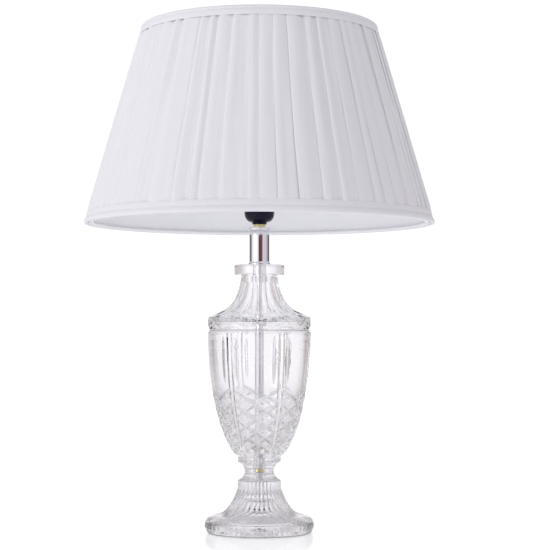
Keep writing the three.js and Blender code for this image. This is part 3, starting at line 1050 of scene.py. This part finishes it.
# One pleat as (share of its width, share of its fold, depth below the outer radius), starting at its edge.
PLEAT = (
    (0.00, 0.00, 1.12), (0.02, 0.00, 0.72), (0.06, 0.00, 0.32), (0.12, 0.00, 0.07),
    (0.19, 0.00, 0.00), (0.27, 0.00, 0.10), (0.36, 0.00, 0.42), (0.45, 0.00, 0.80),
    (0.55, 0.00, 1.10), (0.65, 0.00, 1.28), (0.75, 0.00, 1.38), (0.85, 0.00, 1.42),
    (0.94, 0.00, 1.38), (1.00, 0.10, 1.40), (1.00, 0.60, 1.72), (1.00, 0.94, 1.98),
    (1.00, 1.00, 1.80), (1.00, 0.92, 1.60), (1.00, 0.50, 1.50), (1.00, 0.12, 1.34),
)


# Points of a pleat from here on belong to the fold under the next pleat, and turn back after the second.
FOLD_FROM = 13
FOLD_BACK = 16
FOLD_LOW = 2.5


class LAMP_OT_cover(bpy.types.Operator):
    """Builds the knife-pleated cloth cover"""

    bl_idname = "lamp.cover"
    bl_label = "Pleated cover"

    def execute(self, context):
        settings = context.scene.lamp_shade
        count = settings.pleats
        chance = random.Random(11)
        widths = [chance.uniform(0.55, 1.5) for _ in range(count)]
        total = sum(widths)
        widths = [w / total for w in widths]
        starts = [sum(widths[:k]) for k in range(count)]
        bold = [chance.uniform(-0.6, 2.0) for _ in range(count)]
        lean = [chance.uniform(-1.6, 1.6) for _ in range(count)]
        soft = [chance.uniform(-0.2, 1.0) for _ in range(count)]
        phase = [chance.uniform(0, 50) for _ in range(count)]
        columns = count * len(PLEAT)
        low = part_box("pleated_cover")[0].z / MM
        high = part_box("pleated_cover")[1].z / MM
        rows = 32
        cut_width = (FULL_TURN * 199 + count * 2 * FOLD_LOW) * MM

        bm = bmesh.new()
        column = bm.verts.layers.int.new("column")
        cut = bm.verts.layers.float.new("cut")
        rise = bm.verts.layers.float.new("rise")
        ring = bmesh.ops.create_circle(bm, segments=columns, radius=0.2, cap_ends=False)["verts"]
        for k, v in enumerate(ring):
            v[column] = k
        edges = bm.edges[:]
        wanted = [self.cut_length(k, widths, cut_width) for k in range(columns)]

        def wander(k, s):
            k %= count
            slow = ripple(phase[k], s * 1.3, 0.0)
            quick = ripple(phase[k] + 9, s * 5.0, 3.0)
            return 2.0 * slow + 0.4 * quick + lean[k] * (s - 0.5)

        def spot(k, s, height):
            pleat, point = divmod(k, len(PLEAT))
            along, tuck, depth = PLEAT[point]
            radius = shade_radius(height)
            overlap = FOLD_LOW + 3.3 * s
            this = starts[pleat] * FULL_TURN + wander(pleat, s) / radius
            following = starts[(pleat + 1) % count] * FULL_TURN + wander(pleat + 1, s) / radius
            if pleat == count - 1:
                following += FULL_TURN
            angle = this + (following - this) * along + tuck * overlap / radius
            in_fold = point >= FOLD_FROM
            strong = bold[(pleat + in_fold) % count]
            fade = ripple(phase[pleat] + in_fold, s * 2.2, 21.0)
            relief = settings.relief * (0.72 + 0.28 * strong + 0.3 * fade)
            press = min(smooth_step(0.0, 0.09, s), smooth_step(0.0, 0.07, 1 - s))
            base = 1.1 - 2.7 * press
            swell = ripple(phase[pleat] + along * 1.5, s * 3.0, 7.0)
            crease = ripple(phase[pleat] + along * 7.0, s * 2.0, 1.0)
            if not in_fold:
                round_depth = (1.12 + 0.28 * along) * (0.5 + 0.5 * math.cos(FULL_TURN * along))
                depth += (round_depth - depth) * max(soft[pleat], 0.0)
            if 0.04 < along < 0.95:
                creased = 0.8 * max(crease, 0) * (1 - 0.6 * smooth_step(0.0, 0.35, s))
                depth += 0.45 * swell + creased
            inward = base + max(depth, 0.0) * relief * (0.62 + 0.38 * press)
            r = (radius - min(inward, 4.0)) * MM
            return Vector((r * math.sin(angle), -r * math.cos(angle), height * MM))

        for row in range(rows + 1):
            if row:
                made = bmesh.ops.extrude_edge_only(bm, edges=edges)["geom"]
                ring = [g for g in made if isinstance(g, bmesh.types.BMVert)]
                edges = [g for g in made if isinstance(g, bmesh.types.BMEdge)]
            s = row / rows
            height = low + (high - low) * s
            for v in ring:
                v.co = spot(v[column], s, height)
                v[cut] = wanted[v[column]]
                v[rise] = (height - low) * SLANT * MM
        bmesh.ops.recalc_face_normals(bm, faces=bm.faces)
        bm.normal_update()
        flat = Vector((1, 1, 0))
        outward = [f.normal.dot(f.calc_center_median() * flat) > 0 for f in bm.faces]
        if sum(outward) * 2 < len(outward):
            bmesh.ops.reverse_faces(bm, faces=bm.faces)
        cloth_map(bm, cut_width)
        self.thicken(bm, settings.cloth)
        cover = finished(
            "knife_pleated_cover",
            bm,
            "shade",
            "pleated_cover",
            "pleated_fabric",
            "pleated_cloth",
            80,
            recalc=False,
        )
        return {"FINISHED"}

    def thicken(self, bm, thickness):
        """Gives the cloth its thickness, and holds back the points that would fly out of a sharp fold."""
        home = bm.verts.layers.float_vector.new("home")
        for v in bm.verts:
            v[home] = v.co
        bmesh.ops.solidify(bm, geom=bm.faces[:], thickness=thickness)
        for v in bm.verts:
            away = v.co - v[home]
            if away.length > thickness * 1.5:
                v.co = v[home] + away.normalized() * thickness * 1.5
        bm.verts.layers.float_vector.remove(home)

    def cut_length(self, k, widths, cut_width):
        """Where a column lies along the cloth's cut width, in metres."""
        pleat, point = divmod(k, len(PLEAT))
        along, tuck, _ = PLEAT[point]
        share = along * 0.8 + 0.1 * tuck if point <= FOLD_BACK else 0.9 + 0.1 * (1 - tuck)
        return (sum(widths[:pleat]) + share * widths[pleat]) * cut_width


# The lining's walls below the shade's outer radius.
LINING_OUTSIDE = 5.3
LINING_INSIDE = 6.2


def smooth_band(outline, steps, node, wave, seed):
    """A band of cloth round the shade, spun from its section, with its UV map."""
    bm = turned(outline, steps, node)
    cut = bm.verts.layers.float.new("cut")
    rise = bm.verts.layers.float.new("rise")
    for v in bm.verts:
        angle = math.radians(turn_of(v.co))
        radius = math.hypot(v.co.x, v.co.y)
        lift = ripple(math.cos(angle) * 9, math.sin(angle) * 9, seed)
        small = ripple(math.cos(angle) * 40, math.sin(angle) * 40, v.co.z * 60 + seed)
        change = 1.0 - wave * MM * (0.5 + 0.5 * lift + 0.5 * small) / radius
        v.co.x *= change
        v.co.y *= change
        v[cut] = (angle % FULL_TURN) * radius
        v[rise] = v.co.z
    cloth_map(bm, FULL_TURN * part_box(node)[1].x)
    return bm


class LAMP_OT_lining(bpy.types.Operator):
    """Builds the smooth lining inside the cover"""

    bl_idname = "lamp.lining"
    bl_label = "Lining"

    def execute(self, context):
        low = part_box("shade_lining")[0].z / MM
        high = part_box("shade_lining")[1].z / MM
        rows = 14
        outside = []
        inside = []
        for k in range(rows + 1):
            height = low + (high - low) * k / rows
            outside.append((shade_radius(height) - LINING_OUTSIDE, height))
            inside.append((shade_radius(height) - LINING_INSIDE, height))
        bm = smooth_band(outside + inside[::-1], 360, "shade_lining", 0.12, 5)
        lining = finished("smooth_lining", bm, "shade", "shade_lining", "white_lining", "lining_cloth", 60)
        return {"FINISHED"}


# Sections of the two trims, as (radius against the shade, height against its edge) in mm.
LOWER_TRIM = (
    (-4.2, 3.0), (-4.6, 1.2), (-3.4, 0.0), (-0.9, 0.0), (0.5, 0.6), (1.1, 2.2),
    (1.1, 4.0), (0.75, 5.4), (-0.05, 6.3), (-0.15, 6.8), (0.35, 7.4), (0.5, 9.0),
    (0.5, 11.5), (0.3, 13.2), (-0.4, 14.0), (-1.0, 13.6), (-1.1, 8.0), (-1.2, 4.0),
)
UPPER_TRIM = (
    (-0.3, -10.9), (0.7, -11.0), (1.2, -10.4), (1.35, -8.6), (1.35, -5.6), (1.15, -4.6),
    (0.75, -4.1), (0.85, -3.6), (1.55, -3.0), (1.8, -2.0), (1.5, -0.8), (0.6, -0.1),
    (-1.1, 0.0), (-2.5, -0.4), (-3.6, -1.6), (-3.4, -2.8), (-0.8, -3.2),
)


class LAMP_OT_trims(bpy.types.Operator):
    """Builds the folded trims along the shade's two edges"""

    bl_idname = "lamp.trims"
    bl_label = "Edge trims"

    def execute(self, context):
        trims = (
            ("bottom", SHADE_LOW, LOWER_TRIM, 720, 12, 199.0, 0.020),
            ("top", SHADE_HIGH, UPPER_TRIM, 600, 21, 134.5, 0.018),
        )
        for side, edge, outline, steps, seed, radius, width in trims:
            section = [(shade_radius(edge + h) + r, edge + h) for r, h in outline]
            node = side + "_trim"
            bm = smooth_band(section, steps, node, 0.18, seed)
            trim = finished(side + "_fold_trim", bm, "shade", node, *TRIM, 70)
        return {"FINISHED"}


# ---------------------------------------------------------------- stage


# What polished pieces mirror, by degrees round the lamp: 0 is on the camera's side, right is positive.
SKY = (
    (-180.0, (0.80, 0.79, 0.84)), (-156.0, (0.74, 0.73, 0.78)), (-147.0, (0.32, 0.28, 0.30)),
    (-138.0, (0.21, 0.17, 0.18)), (-106.0, (0.24, 0.19, 0.20)), (-98.0, (0.70, 0.69, 0.74)),
    (-88.0, (0.96, 0.95, 1.02)), (-60.0, (1.10, 1.10, 1.14)), (-15.0, (1.02, 1.02, 1.06)),
    (-9.0, (0.50, 0.48, 0.54)), (-7.0, (0.08, 0.07, 0.10)), (7.0, (0.08, 0.06, 0.09)),
    (10.0, (0.20, 0.06, 0.06)), (33.0, (0.20, 0.07, 0.06)), (38.0, (0.72, 0.71, 0.77)),
    (80.0, (0.68, 0.67, 0.73)), (100.0, (0.48, 0.46, 0.49)), (111.0, (0.42, 0.29, 0.20)),
    (119.0, (0.15, 0.10, 0.10)), (146.0, (0.14, 0.09, 0.08)), (156.0, (0.72, 0.71, 0.76)),
    (180.0, (0.80, 0.79, 0.84)),
)
FLOOR_TONE = (0.94, 0.94, 0.945)
# Painted light: the floor is lighter where it is seen through the glass, standing in for light that the glass
# lets through onto it.
FLOOR_LIT_THROUGH_GLASS = (0.97, 0.965, 0.975)
WHITE = (1.0, 1.0, 1.0, 1.0)
# How bright that is from straight down (-1) to straight up (1).
LEVELS = (
    (-1.0, 1.0), (0.16, 1.0), (0.28, 0.82), (0.48, 0.66), (0.72, 0.95), (1.0, 1.0),
)


class LAMP_OT_stage(bpy.types.Operator):
    """Builds the pale floor, the studio light and the camera"""

    bl_idname = "lamp.stage"
    bl_label = "Stage"

    def execute(self, context):
        settings = context.scene.lamp_stage
        self.floor(context)
        self.room(context, settings)
        self.key(context, settings)
        self.camera(context, settings)
        scene = context.scene
        scene.view_settings.view_transform = "Standard"
        scene.cycles.max_bounces = 24
        scene.cycles.transmission_bounces = 20
        scene.cycles.glossy_bounces = 8
        scene.cycles.diffuse_bounces = 4
        scene.cycles.transparent_max_bounces = 16
        return {"FINISHED"}

    def floor(self, context):
        bm = bmesh.new()
        bmesh.ops.create_grid(bm, x_segments=24, y_segments=24, size=6.0)
        mesh = bpy.data.meshes.new("pale_floor")
        bm.to_mesh(mesh)
        bm.free()
        material, tree, inputs = base_material("pale_floor", FLOOR_TONE, 0.12, Emission_Color=WHITE)
        mottle(tree, inputs, 8.0, 0.1, 0.15)
        rays = add_node(tree, "LightPath").outputs
        seen = math_node(tree, "MULTIPLY", rays["Is Camera Ray"], 0.22)
        lit = math_node(tree, "MULTIPLY", rays["Is Diffuse Ray"], 0.32)
        glow = math_node(tree, "ADD", math_node(tree, "ADD", seen, lit), 0.05)
        feed(tree, inputs["Emission Strength"], glow)
        # Painted light under the glass: the floor's colour is lighter for rays that have come through the
        # glass.
        two_tones(tree, inputs, rays["Is Transmission Ray"], FLOOR_TONE, FLOOR_LIT_THROUGH_GLASS)
        mesh.materials.append(material)
        obj = bpy.data.objects.new("pale_floor", mesh)
        context.scene.collection.objects.link(obj)

    def room(self, context, settings):
        """A white room: pure white where it is seen, soft on cloth, and banded where it is mirrored."""
        world = bpy.data.worlds.new("soft_room")
        context.scene.world = world
        world.use_nodes = True
        tree = world.node_tree
        tree.nodes.clear()
        where = add_node(tree, "TexCoord").outputs["Generated"]
        across, back, up = add_node(tree, "SeparateXYZ", {"Vector": where}).outputs
        angle = math_node(tree, "ARCTAN2", across, math_node(tree, "MULTIPLY", back, -1.0))
        share = math_node(tree, "ADD", math_node(tree, "DIVIDE", angle, FULL_TURN), 0.5)
        bands = ramp(tree, share, [(degrees / 360.0 + 0.5, colour) for degrees, colour in SKY])
        rise = math_node(tree, "MULTIPLY_ADD", up, 0.5, 0.5)
        levels = ramp(tree, rise, [(height / 2 + 0.5, (lit, lit, lit)) for height, lit in LEVELS])
        banded = blend(tree, 1.0, bands, levels, blend_type="MULTIPLY")
        rays = add_node(tree, "LightPath").outputs
        half_seen = math_node(tree, "MULTIPLY", rays["Is Transmission Ray"], 0.5)
        through = blend(tree, half_seen, banded, opaque((1.08, 1.07, 1.10)))
        values = {"Value": back, "From Min": 0.935, "From Max": 0.975}
        window = add_node(tree, "MapRange", values, interpolation_type="SMOOTHSTEP").outputs[0]
        mirrored = blend(tree, window, through, opaque((1.0, 0.99, 1.02)))
        values = {"Value": across, "From Min": -1.0, "From Max": 1.0, "To Min": 0.96, "To Max": 0.61}
        soft = add_node(tree, "MapRange", values).outputs[0]
        on_cloth = blend(tree, rays["Is Diffuse Ray"], mirrored, soft)
        seen = blend(tree, rays["Is Camera Ray"], on_cloth, opaque((1.05, 1.05, 1.05)))
        glow = add_node(tree, "Background", {"Color": seen, "Strength": settings.light})
        add_node(tree, "OutputWorld", {"Surface": glow.outputs[0]})

    def key(self, context, settings):
        light = bpy.data.lights.new("large_key", "AREA")
        light.shape = "RECTANGLE"
        light.size = 0.9
        light.size_y = 1.4
        light.energy = settings.key
        light.color = (1.0, 0.985, 1.0)
        obj = bpy.data.objects.new("large_key", light)
        obj.location = (-1.9, -1.5, 0.95)
        aim = Vector((0, 0, 0.35)) - obj.location
        obj.rotation_euler = aim.to_track_quat("-Z", "Y").to_euler()
        context.scene.collection.objects.link(obj)

    def camera(self, context, settings):
        data = bpy.data.cameras.new("front_camera")
        data.lens = settings.lens
        data.sensor_width = 36.0
        obj = bpy.data.objects.new("front_camera", data)
        obj.location = (0.0, -settings.distance, settings.height)
        obj.rotation_euler = (math.radians(90) + settings.pitch, 0.0, -settings.yaw)
        context.scene.collection.objects.link(obj)
        context.scene.camera = obj


# ---------------------------------------------------------------- panel


STEPS = (
    LAMP_OT_stage,
    LAMP_OT_foot,
    LAMP_OT_urn,
    LAMP_OT_lid,
    LAMP_OT_rod,
    LAMP_OT_neck,
    LAMP_OT_lampholder,
    LAMP_OT_shade_rings,
    LAMP_OT_shade_frame,
    LAMP_OT_lining,
    LAMP_OT_cover,
    LAMP_OT_trims,
)


class LAMP_PT_panel(bpy.types.Panel):
    """Lists the lamp's settings and pieces in the sidebar"""

    bl_idname = "LAMP_PT_panel"
    bl_label = "Table lamp"
    bl_space_type = "VIEW_3D"
    bl_region_type = "UI"
    bl_category = "Table lamp"

    def draw(self, context):
        for label, group in (
            ("Glass", context.scene.lamp_glass),
            ("Shade", context.scene.lamp_shade),
            ("Metal", context.scene.lamp_metal),
            ("Stage", context.scene.lamp_stage),
        ):
            box = self.layout.box()
            box.label(text=label)
            for key in group.__annotations__:
                box.prop(group, key)
        for step in STEPS:
            self.layout.operator(step.bl_idname)


GROUPS = {
    "lamp_glass": LampGlass,
    "lamp_shade": LampShade,
    "lamp_metal": LampMetal,
    "lamp_stage": LampStage,
}
CLASSES = (*GROUPS.values(), *STEPS, LAMP_PT_panel)


def register():
    for made in CLASSES:
        bpy.utils.register_class(made)
    for name, group in GROUPS.items():
        setattr(bpy.types.Scene, name, bpy.props.PointerProperty(type=group))


def unregister():
    for name in GROUPS:
        delattr(bpy.types.Scene, name)
    for made in reversed(CLASSES):
        bpy.utils.unregister_class(made)


def main():
    register()
    for step in STEPS:
        category, name = step.bl_idname.split(".")
        getattr(getattr(bpy.ops, category), name)()


if __name__ == "__main__":
    main()
